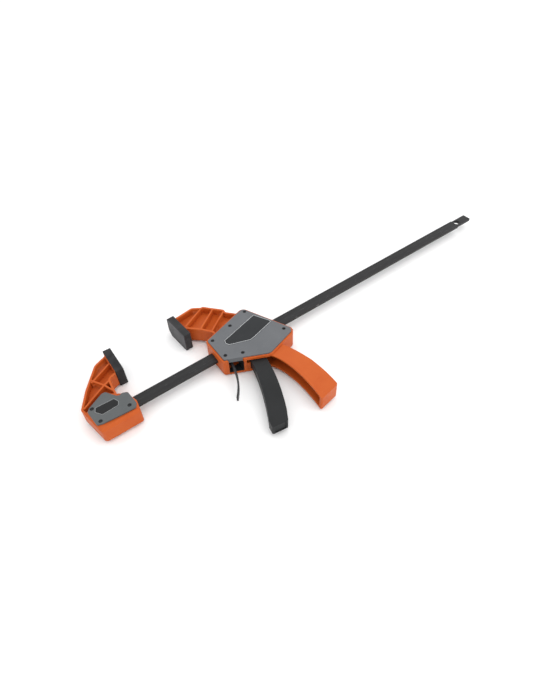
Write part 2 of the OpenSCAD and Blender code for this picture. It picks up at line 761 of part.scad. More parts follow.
module brake_lever() {
    steps = 14;
    // Starts a little way up inside the plate.
    function f(i) = between(i / steps, -0.02, 1);
    long = (bar_w + brake_t * sin(brake_lean)) / cos(brake_lean) + 2 * slide_fit;
    color(black) on_carriage() difference() {
        union() {
            translate([fulcrum.x, fulcrum.y, 0]) rotate([0, 0, -brake_lean])
                translate([-brake_t / 2, -(fulcrum.y - bend_y) / cos(brake_lean), -plate_w / 2])
                    cube([brake_t, (fulcrum.y - bend_y) / cos(brake_lean), plate_w]);
            translate([fulcrum.x, fulcrum.y, -plate_w / 2]) cylinder(d = brake_t, h = plate_w);
            slab(concat([for (i = [0:steps]) lever_line(f(i)) - lever_side(f(i))],
                    [for (i = [steps:-1:0]) lever_line(f(i)) + lever_side(f(i))]),
                -lever_w / 2, lever_w / 2);
        }
        translate([brake_x(0), 0, 0]) rotate([0, 0, -brake_lean])
            translate([-brake_t, -long / 2, -bar_t / 2 - slide_fit])
                cube([2 * brake_t, long, bar_t + 2 * slide_fit]);
    }
}

module brake_spring() {
    start = brake_x(brake_spring_y) + brake_t / 2 / cos(brake_lean) + 0.6;
    color(steel) on_carriage() translate([start, brake_spring_y, 0])
        coil(web_x[0] - start - fit, (brake_spring_d - brake_wire) / 2, brake_wire, 6);
}

bar();
fixed_jaw();
jaw_pin();
jaw_front_plate();
jaw_back_plate();
jaw_front_badge();
jaw_back_badge();
jaw_screws();
fixed_pad();
housing();
front_cover();
back_cover();
front_badge();
back_badge();
cover_screws();
sliding_pad();
trigger();
trigger_pin();
drive_plate_front();
drive_plate_rear();
drive_spring();
brake_lever();
brake_spring();
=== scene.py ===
"""Quick release bar clamp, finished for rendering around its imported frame."""
import json
import math

import bmesh
import bpy
from mathutils import Matrix, Vector
from mathutils.bvhtree import BVHTree
from mathutils.kdtree import KDTree


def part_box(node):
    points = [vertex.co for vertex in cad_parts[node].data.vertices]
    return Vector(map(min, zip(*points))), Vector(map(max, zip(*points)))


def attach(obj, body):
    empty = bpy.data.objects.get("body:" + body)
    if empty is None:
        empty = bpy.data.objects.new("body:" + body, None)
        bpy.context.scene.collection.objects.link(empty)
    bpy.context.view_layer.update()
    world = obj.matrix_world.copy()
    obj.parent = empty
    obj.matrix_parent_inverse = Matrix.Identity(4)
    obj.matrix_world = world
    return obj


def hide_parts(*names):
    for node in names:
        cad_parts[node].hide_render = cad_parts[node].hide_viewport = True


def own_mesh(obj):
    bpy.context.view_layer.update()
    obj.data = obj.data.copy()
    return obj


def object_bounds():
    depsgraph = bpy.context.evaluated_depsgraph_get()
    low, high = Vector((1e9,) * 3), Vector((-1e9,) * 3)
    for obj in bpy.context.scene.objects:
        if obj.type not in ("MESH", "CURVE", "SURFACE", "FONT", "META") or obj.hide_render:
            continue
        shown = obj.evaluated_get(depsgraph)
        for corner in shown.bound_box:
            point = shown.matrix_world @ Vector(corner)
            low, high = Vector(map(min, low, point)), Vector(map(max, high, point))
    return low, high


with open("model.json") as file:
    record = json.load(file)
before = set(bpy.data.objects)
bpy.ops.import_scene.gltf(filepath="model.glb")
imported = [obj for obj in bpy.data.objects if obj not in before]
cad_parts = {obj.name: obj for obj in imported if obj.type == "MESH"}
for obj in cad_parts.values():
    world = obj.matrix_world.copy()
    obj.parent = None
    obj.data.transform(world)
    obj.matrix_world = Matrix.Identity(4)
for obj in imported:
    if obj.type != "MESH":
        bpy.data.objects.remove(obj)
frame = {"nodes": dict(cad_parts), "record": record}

cad_low, cad_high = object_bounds()

# ---- Sizes, in metres unless a comment says millimetres ----------------------------------

MM = 0.001
THROAT = 85.8             # bar's centre line below the origin, millimetres
OPENING = 108.8           # carriage's own zero along the bar, millimetres
HEAD_TOP = 17.6           # top of a screw's head, millimetres
BORDER_HEIGHTS = {"upper": 18.53, "lower": -18.4}    # of the raised lines, millimetres
BORDER_RISE = 0.12        # how thick a raised line is, millimetres
BADGE_DROP = 0.06         # how much deeper the upper badges lie than their nodes, millimetres
FIXED_FACING = (0.999123, -0.041876, 0.0)      # the way the fixed pad's face looks
SLIDING_FACING = (-0.999123, -0.041876, 0.0)   # and the sliding pad's
SLIDING_REACH = -0.108705                      # place of the sliding face along its own way

# Screws as x and y, and outlines of badges as x, y and corner radius, in millimetres: x from
# the origin or, on the carriage, from its own zero, and y from the bar's centre line.
COVER_SCREWS = ((115.1, 43.6), (76, 30.9), (34, 19.9), (32.5, -20.4), (58.3, -32.5), (143.2, -31.1))
JAW_SCREWS = ((-26, -13.5), (-73, -13.5), (-74.2, 14.8))
COVER_BADGE = ((46.6, 1, 2), (49.6, -5.8, 2), (84, -18.3, 8), (93.3, -17, 8),
               (136, -5.4, 2), (137.6, -1.6, 2), (122.4, 28, 2), (49, 8.4, 2))
JAW_BADGE = ((-73.5, 5.6, 1.5), (-66.3, -5.2, 1.5), (-39.3, -4.2, 3),
             (-35.6, 3, 3), (-39.2, 12.2, 3), (-69.6, 13.6, 1.5))


def on_bar(x, y, z):
    """A point in the shared frame, from millimetres with y from the bar's centre line."""
    return Vector((x, y - THROAT, z)) * MM


def on_carriage(x, y, z):
    """The same for a point of the carriage, with x from the carriage's zero."""
    return on_bar(x + OPENING, y, z)


# ---- Node trees --------------------------------------------------------------------------


def feed(tree, socket, value):
    """Links an input to another node's output, or sets it to a constant."""
    if isinstance(value, bpy.types.NodeSocket):
        tree.links.new(value, socket)
    else:
        socket.default_value = value


def add(tree, kind, inputs=None, **settings):
    """A node in the tree, with its settings and with its inputs set or linked."""
    made = tree.nodes.new(kind)
    for name, value in settings.items():
        setattr(made, name, value)
    for name, value in (inputs or {}).items():
        feed(tree, made.inputs[name], value)
    return made


def math_node(tree, operation, *values, clamp=False):
    """Result of one step of arithmetic."""
    return add(tree, "ShaderNodeMath", dict(enumerate(values)), operation=operation,
               use_clamp=clamp).outputs[0]


def span(tree, value, low, high, to_low=0.0, to_high=1.0):
    """Value moved from one range to another and held inside it."""
    return add(tree, "ShaderNodeMapRange",
               {"Value": value, "From Min": low, "From Max": high,
                "To Min": to_low, "To Max": to_high}).outputs["Result"]


def new_group(name, kind, sockets):
    """An empty node group with its named inputs and outputs, and its two end nodes."""
    tree = bpy.data.node_groups.new(name, kind)
    for label, way, socket, value in sockets:
        made = tree.interface.new_socket(label, in_out=way, socket_type="NodeSocket" + socket)
        if value is not None:
            made.default_value = value
    return tree, tree.nodes.new("NodeGroupInput").outputs, tree.nodes.new("NodeGroupOutput").inputs


# ---- Surface effects that the finishes share ---------------------------------------------


def moulded_grain():
    """Fine spark-eroded grain of a moulding, with slow changes of tone across it."""
    tree, given, result = new_group("moulded_grain", "ShaderNodeTree", [
        ("Place", "INPUT", "Vector", None),
        ("Grain Scale", "INPUT", "Float", 1500.0),
        ("Tone Scale", "INPUT", "Float", 25.0),
        ("Height", "OUTPUT", "Float", None),
        ("Tone", "OUTPUT", "Float", None),
    ])
    pits = add(tree, "ShaderNodeTexNoise", {"Vector": given["Place"], "Scale": given["Grain Scale"],
               "Detail": 3.0, "Roughness": 0.65})
    coarse = math_node(tree, "MULTIPLY", given["Grain Scale"], 0.45)
    cells = add(tree, "ShaderNodeTexVoronoi", {"Vector": given["Place"], "Scale": coarse},
                feature="SMOOTH_F1")
    height = math_node(tree, "ADD", math_node(tree, "MULTIPLY", pits.outputs["Fac"], 0.7),
                       math_node(tree, "MULTIPLY", cells.outputs["Distance"], 0.3))
    tone = add(tree, "ShaderNodeTexNoise", {"Vector": given["Place"], "Scale": given["Tone Scale"],
               "Detail": 4.0, "Roughness": 0.55})
    tree.links.new(height, result["Height"])
    tree.links.new(span(tree, tone.outputs["Fac"], 0.3, 0.7), result["Tone"])
    return tree


def edge_wear():
    """Mask along edges, broken up as rubbing leaves it."""
    tree, given, result = new_group("edge_wear", "ShaderNodeTree", [
        ("Place", "INPUT", "Vector", None),
        ("Width", "INPUT", "Float", 0.001),
        ("Patch Scale", "INPUT", "Float", 120.0),
        ("Amount", "INPUT", "Float", 0.5),
        ("Edge", "OUTPUT", "Float", None),
    ])
    rounded = add(tree, "ShaderNodeBevel", {"Radius": given["Width"]}, samples=6)
    facing = add(tree, "ShaderNodeNewGeometry")
    same = add(tree, "ShaderNodeVectorMath", {0: rounded.outputs[0], 1: facing.outputs["Normal"]},
               operation="DOT_PRODUCT").outputs["Value"]
    turned = span(tree, math_node(tree, "SUBTRACT", 1.0, same), 0.01, 0.2)
    patches = add(tree, "ShaderNodeTexNoise", {"Vector": given["Place"],
                  "Scale": given["Patch Scale"], "Detail": 5.0, "Roughness": 0.7})
    broken = span(tree, patches.outputs["Fac"], 0.42, 0.62)
    mask = math_node(tree, "MULTIPLY", turned, broken)
    tree.links.new(math_node(tree, "MULTIPLY", mask, given["Amount"], clamp=True), result["Edge"])
    return tree


def handling_marks():
    """Hairline scratches in two directions and soft smudges from hands."""
    tree, given, result = new_group("handling_marks", "ShaderNodeTree", [
        ("Place", "INPUT", "Vector", None),
        ("Scratch Scale", "INPUT", "Float", 60.0),
        ("Smudge Scale", "INPUT", "Float", 18.0),
        ("Scratches", "OUTPUT", "Float", None),
        ("Smudge", "OUTPUT", "Float", None),
    ])
    lines = []
    for turn, squeeze in ((0.5, 22.0), (-0.9, 30.0)):
        laid = add(tree, "ShaderNodeMapping", {"Vector": given["Place"],
                   "Rotation": (0.1, 0.2, turn), "Scale": (1.0, squeeze, 1.0)})
        streak = add(tree, "ShaderNodeTexNoise", {"Vector": laid.outputs[0],
                     "Scale": given["Scratch Scale"], "Detail": 2.0, "Roughness": 0.5})
        lines.append(span(tree, streak.outputs["Fac"], 0.68, 0.74))
    smudge = add(tree, "ShaderNodeTexNoise", {"Vector": given["Place"],
                 "Scale": given["Smudge Scale"], "Detail": 3.0, "Roughness": 0.6,
                 "Distortion": 0.8})
    tree.links.new(math_node(tree, "MAXIMUM", *lines), result["Scratches"])
    tree.links.new(span(tree, smudge.outputs["Fac"], 0.35, 0.68), result["Smudge"])
    return tree


def drawn_lines():
    """Fine lines along one direction, as rolling, drawing or brushing leaves them."""
    tree, given, result = new_group("drawn_lines", "ShaderNodeTree", [
        ("Place", "INPUT", "Vector", None),
        ("Stretch", "INPUT", "Vector", (0.03, 1.0, 1.0)),
        ("Line Scale", "INPUT", "Float", 1600.0),
        ("Height", "OUTPUT", "Float", None),
        ("Tone", "OUTPUT", "Float", None),
    ])
    laid = add(tree, "ShaderNodeVectorMath", {0: given["Place"], 1: given["Stretch"]},
               operation="MULTIPLY").outputs["Vector"]
    fine = add(tree, "ShaderNodeTexNoise", {"Vector": laid, "Scale": given["Line Scale"],
               "Detail": 3.0, "Roughness": 0.7})
    broad = add(tree, "ShaderNodeTexNoise", {"Vector": laid, "Detail": 3.0, "Roughness": 0.6,
                "Scale": math_node(tree, "MULTIPLY", given["Line Scale"], 0.12)})
    tree.links.new(fine.outputs["Fac"], result["Height"])
    tree.links.new(span(tree, broad.outputs["Fac"], 0.3, 0.7), result["Tone"])
    return tree


EFFECTS = {make.__name__: make()
           for make in (moulded_grain, edge_wear, handling_marks, drawn_lines)}


def use(tree, effect, **values):
    """Places a shared effect in a material, with this material's own values."""
    made = add(tree, "ShaderNodeGroup", node_tree=EFFECTS[effect])
    for name, value in values.items():
        feed(tree, made.inputs[name.replace("_", " ").title()], value)
    return made.outputs


def blend_colour(tree, share, under, over):
    """One colour laid over another by a mask."""
    made = add(tree, "ShaderNodeMix", data_type="RGBA", clamp_factor=True)
    for place, value in ((0, share), (6, under), (7, over)):    # the node's inputs for colours
        feed(tree, made.inputs[place], value)
    return made.outputs[2]    # and its output for them


def colour(red, green, blue):
    """A colour given as screen values from 0 to 255."""
    def linear(v):
        v /= 255
        return v / 12.92 if v <= 0.04045 else ((v + 0.055) / 1.055) ** 2.4
    return linear(red), linear(green), linear(blue), 1.0


# ---- Finishes ----------------------------------------------------------------------------


def blank_material(name, roughness_at, **constants):
    """A material with only its shader, its Object coordinates and its constant sockets."""
    material = bpy.data.materials.new(name)
    material.use_nodes = True
    tree = material.node_tree
    tree.nodes.clear()
    shader = add(tree, "ShaderNodeBsdfPrincipled", {"Roughness": roughness_at, **constants})
    out = add(tree, "ShaderNodeOutputMaterial")
    tree.links.new(shader.outputs[0], out.inputs["Surface"])
    place = add(tree, "ShaderNodeTexCoord").outputs["Object"]
    return material, tree, shader, place


def raise_surface(tree, shader, height, strength, distance):
    """Bump from a height, on the shader's normal."""
    bump = add(tree, "ShaderNodeBump", {"Height": height, "Strength": strength,
               "Distance": distance})
    tree.links.new(bump.outputs["Normal"], shader.inputs["Normal"])


def moulded_plastic(name, base, deep, worn, gloss, grain=1500.0, relief=0.00006, wear=0.35):
    """Injection-moulded plastic: grain, slow tone, worn edges, hairlines and smudges."""
    material, tree, shader, place = blank_material(name, gloss, **{"Specular IOR Level": 0.2})
    skin = use(tree, "moulded_grain", place=place, grain_scale=grain, tone_scale=22.0)
    edge = use(tree, "edge_wear", place=place, width=0.0011, patch_scale=140.0, amount=wear)
    marks = use(tree, "handling_marks", place=place, scratch_scale=70.0, smudge_scale=16.0)
    tone = blend_colour(tree, skin["Tone"], deep, base)
    lines = math_node(tree, "MULTIPLY", marks["Scratches"], 0.18)
    scratched = blend_colour(tree, lines, tone, worn)
    tree.links.new(blend_colour(tree, edge["Edge"], scratched, worn), shader.inputs["Base Color"])
    rough = math_node(tree, "ADD", span(tree, skin["Height"], 0.2, 0.8, gloss - 0.05, gloss + 0.07),
                      math_node(tree, "MULTIPLY", marks["Smudge"], -0.07))
    rough = math_node(tree, "ADD", rough, math_node(tree, "MULTIPLY", marks["Scratches"], 0.06))
    tree.links.new(rough, shader.inputs["Roughness"])
    height = math_node(tree, "SUBTRACT", skin["Height"],
                       math_node(tree, "MULTIPLY", marks["Scratches"], 0.5))
    raise_surface(tree, shader, height, 0.35, relief)
    return material


def rubber(name, base, dust_and_face_light, facing, reach):
    """Soft matt rubber, leathery, with dust in its smudges and along its edges; its clamping face
    is painted paler, a painted highlight for the light falling on that face.

    The clamping face is where a place measured along facing comes up to reach.
    """
    material, tree, shader, place = blank_material(name, 0.7, **{"Specular IOR Level": 0.2})
    skin = use(tree, "moulded_grain", place=place, grain_scale=900.0, tone_scale=35.0)
    marks = use(tree, "handling_marks", place=place, scratch_scale=45.0, smudge_scale=28.0)
    edge = use(tree, "edge_wear", place=place, width=0.0016, patch_scale=90.0, amount=0.35)
    dust = math_node(tree, "ADD", math_node(tree, "MULTIPLY", marks["Smudge"], 0.22),
                     math_node(tree, "MULTIPLY", edge["Edge"], 0.5), clamp=True)
    speck = math_node(tree, "MULTIPLY", skin["Tone"], 0.2)
    tone = blend_colour(tree, speck, base, dust_and_face_light)
    depth = add(tree, "ShaderNodeVectorMath", {0: place, 1: facing}, operation="DOT_PRODUCT")
    face = span(tree, depth.outputs["Value"], reach - 1.1 * MM, reach - 0.2 * MM)
    # Painted highlight: the clamping face is painted paler, broken by smudges, for the light that
    # falls on that face.
    painted_face_light = math_node(tree, "MULTIPLY", face, span(tree, marks["Smudge"], 0.0, 1.0, 0.75, 1.0))
    tone = blend_colour(tree, math_node(tree, "MAXIMUM", dust, painted_face_light), tone, dust_and_face_light)
    tree.links.new(tone, shader.inputs["Base Color"])
    tree.links.new(span(tree, marks["Smudge"], 0.0, 1.0, 0.78, 0.62), shader.inputs["Roughness"])
    raise_surface(tree, shader, skin["Height"], 0.5, 0.00012)
    return material


def coated_steel(name, base, lift, bare, gloss, stretch, wear=0.5):
    """Blackened or painted steel: drawn lines under the coat, bright where edges rub."""
    material, tree, shader, place = blank_material(name, gloss, **{"Specular IOR Level": 0.25})
    lines = use(tree, "drawn_lines", place=place, stretch=stretch, line_scale=1300.0)
    edge = use(tree, "edge_wear", place=place, width=0.0009, patch_scale=110.0, amount=wear)
    marks = use(tree, "handling_marks", place=place, scratch_scale=55.0, smudge_scale=14.0)
    tone = blend_colour(tree, math_node(tree, "MULTIPLY", lines["Tone"], 0.7), base, lift)
    tone = blend_colour(tree, math_node(tree, "MULTIPLY", marks["Scratches"], 0.25), tone, bare)
    tree.links.new(blend_colour(tree, edge["Edge"], tone, bare), shader.inputs["Base Color"])
    tree.links.new(math_node(tree, "MULTIPLY", edge["Edge"], 0.6), shader.inputs["Metallic"])
    rough = span(tree, lines["Height"], 0.25, 0.75, gloss - 0.06, gloss + 0.08)
    rough = math_node(tree, "SUBTRACT", rough, math_node(tree, "MULTIPLY", marks["Smudge"], 0.08))
    tree.links.new(rough, shader.inputs["Roughness"])
    raise_surface(tree, shader, lines["Height"], 0.4, 0.00003)
    return material


def bright_steel(name, base, dull, gloss, stretch):
    """Bare ground or drawn steel with fine lines and an oily tarnish."""
    material, tree, shader, place = blank_material(name, gloss, **{"Metallic": 1.0})
    lines = use(tree, "drawn_lines", place=place, stretch=stretch, line_scale=2400.0)
    marks = use(tree, "handling_marks", place=place, scratch_scale=80.0, smudge_scale=60.0)
    tone = blend_colour(tree, math_node(tree, "MULTIPLY", marks["Smudge"], 0.6), base, dull)
    tree.links.new(tone, shader.inputs["Base Color"])
    tree.links.new(span(tree, lines["Height"], 0.25, 0.75, gloss - 0.08, gloss + 0.1),
                   shader.inputs["Roughness"])
    raise_surface(tree, shader, lines["Height"], 0.35, 0.00002)
    return material


ORANGE = moulded_plastic("orange_nylon", colour(190, 90, 34), colour(182, 80, 27),
                         colour(210, 126, 76), 0.5)
COVER_GREY = moulded_plastic("cover_grey_plastic", colour(102, 104, 107), colour(95, 97, 100),
                             colour(148, 150, 153), 0.52, grain=1800.0)
# The jaw's grey, its badge's charcoal and its badge's line are darker copies of the cover's same
# plastics: painted shade, for the jaw lying in less light than the carriage.
JAW_GREY_PAINTED_SHADE = moulded_plastic("jaw_grey_plastic_painted_shade", colour(92, 95, 96), colour(85, 88, 89),
                           colour(138, 140, 142), 0.52, grain=1800.0)
BADGE_DARK = moulded_plastic("badge_charcoal", colour(42, 44, 46), colour(36, 38, 40),
                             colour(90, 92, 94), 0.42, grain=2600.0, relief=0.00003, wear=0.1)
JAW_BADGE_DARK_PAINTED_SHADE = moulded_plastic("jaw_badge_charcoal_painted_shade", colour(31, 32, 33), colour(26, 27, 28),
                                 colour(78, 79, 80), 0.42, grain=2600.0, relief=0.00003, wear=0.1)
BADGE_LINE = moulded_plastic("badge_silver_line", colour(196, 198, 200), colour(180, 182, 184),
                             colour(230, 230, 230), 0.4, grain=2600.0, relief=0.00002, wear=0.1)
JAW_BADGE_LINE_PAINTED_SHADE = moulded_plastic("jaw_badge_line_painted_shade", colour(150, 152, 153),
                                 colour(138, 140, 141), colour(190, 190, 190), 0.4,
                                 grain=2600.0, relief=0.00002, wear=0.1)
TRIGGER_BLACK = moulded_plastic("trigger_black_plastic", colour(35, 36, 37), colour(30, 31, 32),
                                colour(78, 78, 80), 0.55, grain=1200.0)
# The paler grey of the pads is dust and, on the clamping faces, a painted highlight.
FIXED_PAD_RUBBER = rubber("fixed_pad_rubber", colour(29, 29, 30), colour(86, 86, 88),
                          FIXED_FACING, 0.0)
SLIDING_PAD_RUBBER = rubber("sliding_pad_rubber", colour(29, 29, 30), colour(86, 86, 88),
                            SLIDING_FACING, SLIDING_REACH)
BAR_BLACK = coated_steel("bar_black_oxide", colour(29, 29, 30), colour(41, 41, 42),
                         colour(134, 134, 136), 0.48, (0.03, 1.0, 1.0))
LEVER_BLACK = coated_steel("lever_black_oxide", colour(38, 38, 40), colour(50, 50, 52),
                           colour(140, 140, 142), 0.45, (1.0, 0.04, 1.0))
SCREW_BLACK = coated_steel("screw_black_phosphate", colour(22, 22, 24), colour(34, 34, 36),
                           colour(110, 110, 112), 0.42, (1.0, 1.0, 0.2), wear=0.6)
PIN_STEEL = bright_steel("pin_ground_steel", colour(196, 198, 201), colour(140, 138, 134), 0.32,
                         (1.0, 1.0, 0.05))
PLATE_STEEL = bright_steel("plate_stamped_steel", colour(176, 178, 181), colour(120, 118, 114),
                           0.38, (1.0, 0.06, 1.0))
SPRING_STEEL = bright_steel("spring_wire", colour(160, 160, 162), colour(100, 98, 96), 0.3,
                            (1.0, 0.3, 0.3))


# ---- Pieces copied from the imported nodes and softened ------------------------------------

BODY_OF = {node: body for body, nodes in frame["record"]["behaviour"]["bodies"].items()
           for node in nodes}

LEVEL_TURN = math.radians(0.5)   # faces that turn less than this may lie in one plane
LEVEL_OFF = 4e-6                 # and do, if they stand no further than this out of it
SLIVER = 1.5e-6                  # a face narrower than about this is a sliver
STRAIGHT = math.pi - 0.002       # two edges that meet at more than this are one straight edge
ROUND_FROM = math.radians(32)    # outer edges that turn more than this are rounded
RUN_ANGLE = 2.2                  # edges that meet at more radians than this run on smoothly
SEARCH = 0.003                   # how far across a face a wall is looked for
WALL_SHARE = 0.4                 # share of a wall or a side edge that a rounding may take
LENGTH_SHARE = 0.8               # share of an edge's length that its two ends may take
LEAST_CORNER = 0.02              # corners sharper than this count as this, in radians
OFF_BODY = 0.0009                # a surface further than this off the sharp body is torn
SPECK = 6e-8                     # twice the area of a triangle too small to be judged
LIKE_BODY, LIKE_FACE = -0.1, 0.2  # least cosine to the body's normal and to the face's own
TEAR_REACH = 0.6 * MM            # edges this near a torn place, past their width, are eased
SLIGHT = 0.12 * MM               # an eased rounding of this or less is left out, not halved
TRIES = 8                        # how often torn roundings are eased


def link(obj):
    """The object, put in the scene."""
    bpy.context.scene.collection.objects.link(obj)
    return obj


def dress(obj, material):
    """One finish over the whole piece."""
    obj.data.materials.clear()
    obj.data.materials.append(material)
    for face in obj.data.polygons:
        face.material_index = 0


def settle(obj):
    """The piece with its modifiers worked into a plain mesh."""
    graph = bpy.context.evaluated_depsgraph_get()
    mesh = bpy.data.meshes.new_from_object(obj.evaluated_get(graph), depsgraph=graph)
    obj.modifiers.clear()
    obj.data = mesh
    return obj


def shade(obj, sharp_from=46):
    """Smooth shading over roundings, with flat faces kept flat and sharp edges sharp."""
    for face in obj.data.polygons:
        face.use_smooth = True
    obj.data.set_sharp_from_angle(angle=math.radians(sharp_from))
    normals = obj.modifiers.new("normals", "WEIGHTED_NORMAL")
    normals.keep_sharp = True
    normals.weight = 80
    settle(obj)


def corner(face, vert):
    """Angle inside a face at one of its corners, with the two edges that meet there."""
    loop = next(l for l in face.loops if l.vert is vert)
    turn = loop.calc_angle()
    return (turn if loop.is_convex else 2 * math.pi - turn), loop.edge, loop.link_loop_prev.edge


def room_for(edge, rounded, body):
    """Widest rounding of an edge that its two faces, its neighbours and the wall leave room for."""
    room = 1.0
    near_faces = {face.index for vert in edge.verts for face in vert.link_faces}
    for face, other in (edge.link_faces, reversed(edge.link_faces)):
        along = edge.verts[1].co - edge.verts[0].co
        inward = along.cross(face.normal).normalized()
        inward *= -1 if inward.dot(other.normal) > 0 else 1
        for share in (0.15, 0.5, 0.85):
            # Just under the face and just off the edge, so that neither is struck.
            start = edge.verts[0].co + share * along + 1e-5 * inward - 5e-5 * face.normal
            _, _, struck, reach = body.ray_cast(start, inward, SEARCH)
            if struck is not None and struck not in near_faces:
                room = min(room, WALL_SHARE * reach)
        pull = 0.0
        for vert in edge.verts:
            angle, one, two = corner(face, vert)
            near = two if one is edge else one
            angle = min(max(angle, LEAST_CORNER), 2 * math.pi - LEAST_CORNER)
            if near in rounded:
                pull += 1 / math.tan(angle / 2)
            elif abs(math.sin(angle)) > 0.05:
                pull += max(0.0, 1 / math.tan(angle))
                room = min(room, WALL_SHARE * near.calc_length() * abs(math.sin(angle)))
        if pull > 0.001:
            room = min(room, LENGTH_SHARE * edge.calc_length() / pull)
    return room


def even_runs(rounded, growth):
    """Holds a run of edges to its narrowest rounding, which may grow with the way from there."""
    waiting = sorted(rounded, key=rounded.get)
    for edge in waiting:
        for vert in edge.verts:
            along = edge.other_vert(vert).co - vert.co
            for near in vert.link_edges:
                if near not in rounded:
                    continue
                if along.angle(near.other_vert(vert).co - vert.co, 0) > RUN_ANGLE:
                    way = (edge.calc_length() + near.calc_length()) / 2
                    if rounded[near] > rounded[edge] + growth * way + 1e-9:
                        rounded[near] = rounded[edge] + growth * way
                        waiting.append(near)


def joined(edge):
    """Joins the two faces of an edge, unless that would close a ring round a hole."""
    one, two = edge.link_faces
    if len(set(one.verts) & set(two.verts)) == len(set(one.edges) & set(two.edges)) + 1:
        bmesh.utils.face_join((one, two)).normal_update()


def join_flat(work):
    """Joins faces that lie in one plane, slivers first and then across the longest edges."""
    for face in list(work.faces):
        if face.is_valid:
            longest = max(face.edges, key=lambda e: e.calc_length())
            if face.calc_area() < SLIVER * longest.calc_length():
                joined(longest)
    level = [e for e in work.edges if e.calc_face_angle(9.0) < LEVEL_TURN]
    level.sort(key=lambda e: -e.calc_length())
    for edge in level:
        if edge.is_valid and len(edge.link_faces) == 2:
            one, two = edge.link_faces
            at = edge.verts[0].co
            if one.normal.angle(two.normal, 9.0) < LEVEL_TURN:
                if all(abs((v.co - at).dot(one.normal)) < LEVEL_OFF for v in two.verts):
                    joined(edge)
    for vert in list(work.verts):
        if len(vert.link_edges) == 2 and min(len(f.verts) for f in vert.link_faces) > 3:
            one, two = (e.other_vert(vert).co - vert.co for e in vert.link_edges)
            if one.angle(two, 0.0) > STRAIGHT:
                bmesh.utils.vert_collapse_edge(vert, vert.link_edges[0])


def edges_to_round(work, widest, width_at, growth):
    """Outer edges of a body, each with its rounding, and the sharp body for later tests."""
    rounded = {}
    for edge in work.edges:
        if len(edge.link_faces) == 2 and edge.is_convex:
            if edge.calc_face_angle(0.0) > ROUND_FROM:
                rounded[edge] = widest
                if width_at is not None:
                    middle = (edge.verts[0].co + edge.verts[1].co) / 2
                    rounded[edge] = width_at(middle, *(f.normal for f in edge.link_faces))
    work.faces.index_update()
    body = BVHTree.FromBMesh(work)
    for edge, width in list(rounded.items()):
        rounded[edge] = min(width, room_for(edge, rounded, body))
    even_runs(rounded, growth)
    return rounded, body


def torn_places(mesh, body):
    """Corners of triangles that the rounding has turned over or pushed off the body."""
    found = []
    check = bmesh.new()
    check.from_mesh(mesh)
    for loops in check.calc_loop_triangles():
        one, two, three = (loop.vert.co for loop in loops)
        across = (two - one).cross(three - one)
        if across.length < SPECK:
            continue
        _, facing, _, away = body.find_nearest((one + two + three) / 3)
        across.normalize()
        own = loops[0].face.normal
        if away > OFF_BODY or across.dot(facing) < LIKE_BODY or across.dot(own) < LIKE_FACE:
            found += [one.copy(), two.copy(), three.copy()]
    check.free()
    return found


def ease(rounded, places, growth):
    """Halves or drops the roundings next to the places where they tore the surface."""
    tree = KDTree(len(places))
    for i, place in enumerate(places):
        tree.insert(place, i)
    tree.balance()
    for edge, width in rounded.items():
        if min(tree.find(vert.co)[2] for vert in edge.verts) < TEAR_REACH + width:
            rounded[edge] = 0.5 * width if width > SLIGHT else 0.0
    even_runs(rounded, growth)


def softened(node, name, material, widest, width_at=None, segments=2, growth=0.0,
             carve=None):
    """Copy of a node with its flat faces joined and its edges rounded, in the node's place.

    width_at gives an edge's rounding from its middle point and its two face normals, growth
    is how much wider a rounding may get for each metre from a narrow place, and carve cuts a
    detail in the sharp body first.
    """
    work = bmesh.new()
    work.from_mesh(frame["nodes"][node].data)
    bmesh.ops.remove_doubles(work, verts=work.verts, dist=3e-6)
    join_flat(work)
    if carve is not None:
        carve(work)
    share = work.edges.layers.float.new("bevel_weight_edge")
    rounded, body = edges_to_round(work, widest, width_at, growth)
    obj = link(bpy.data.objects.new(name, bpy.data.meshes.new(name)))
    for _ in range(TRIES):
        for edge, width in rounded.items():
            edge[share] = width / widest
        sharp = bpy.data.meshes.new(name)
        work.to_mesh(sharp)
        obj.data = sharp
        rounding = obj.modifiers.new("rounding", "BEVEL")
        rounding.limit_method = "WEIGHT"
        rounding.width = widest
        rounding.segments = segments
        rounding.use_clamp_overlap = False
        settle(obj)
        places = torn_places(obj.data, body)
        if not places:
            break
        ease(rounded, places, growth)
    work.free()
    shade(obj)
    dress(obj, material)
    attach(obj, BODY_OF[node])
    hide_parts(node)
    return obj


def housing_width(middle, first, second):
    """Rounding of the carriage moulding: full along the grip's sides, slight elsewhere."""
    x, y = middle.x / MM - OPENING, middle.y / MM + THROAT
    on_grip = y < -52 and abs(middle.z) > 13.5 * MM
    along_a_side = abs(first.z) + abs(second.z) > 0.9
    if on_grip and along_a_side:
        return 2.5 * MM
    on_arm = x < 15
    return 0.5 * MM if on_arm else 0.7 * MM


def lever_width(middle, first, second):
    """Rounding of the release lever: on the bent strip, not on the plate inside the housing."""
    bend = -107 * MM
    return 0.5 * MM if middle.y < bend else 0.0


def hollow_end(work):
    """Shallow pocket in the lower end of the trigger, inside an even rim."""
    rim, draft, deep = 1.7 * MM, 0.2 * MM, 1.6 * MM
    end = max((f for f in work.faces if f.normal.y < -0.9), key=lambda f: f.calc_area())
    bmesh.ops.inset_region(work, faces=[end], thickness=rim)
    bmesh.ops.inset_region(work, faces=[end], thickness=draft, depth=-deep)


